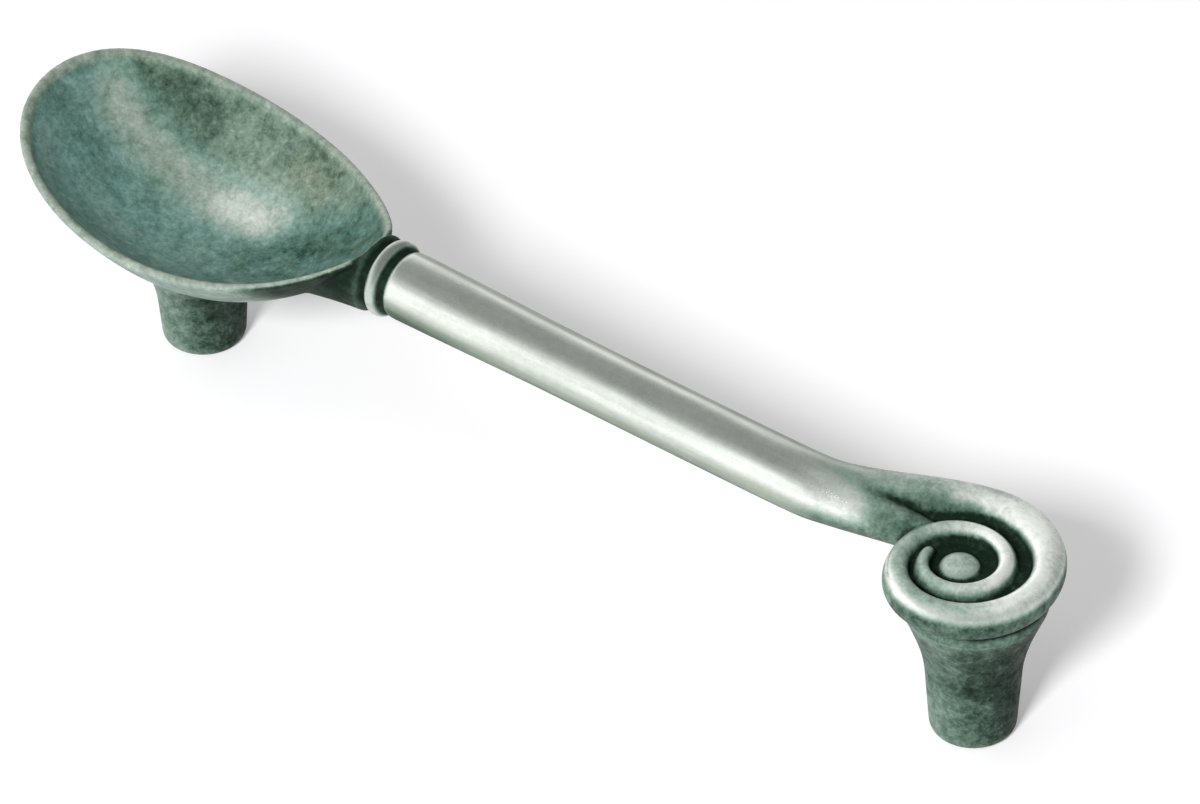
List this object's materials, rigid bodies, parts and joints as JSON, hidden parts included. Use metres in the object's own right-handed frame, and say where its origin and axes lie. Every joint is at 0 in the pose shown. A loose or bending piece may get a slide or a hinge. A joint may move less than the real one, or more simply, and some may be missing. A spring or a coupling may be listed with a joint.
{
  "type": "spoon-shaped cabinet handle",
  "caption": "Cast cabinet pull shaped as a spoon: oval bowl, ringed collar, round bar and flat scroll, carried on two short posts with screw holes in their feet.",
  "frame": {"origin": "middle of the handle's length and width, on the plane of the door that the posts' feet stand on", "axes": "+X from the bowl to the scroll, +Z away from the door"},
  "size_m": [0.1226, 0.028, 0.0248],
  "materials": {
    "antique_pewter": "antique pewter with blue-green patina, worn bright on the bar and edges"
  },
  "bodies": {
    "root": {"spoon_handle": "antique_pewter"}
  },
  "joints": []
}
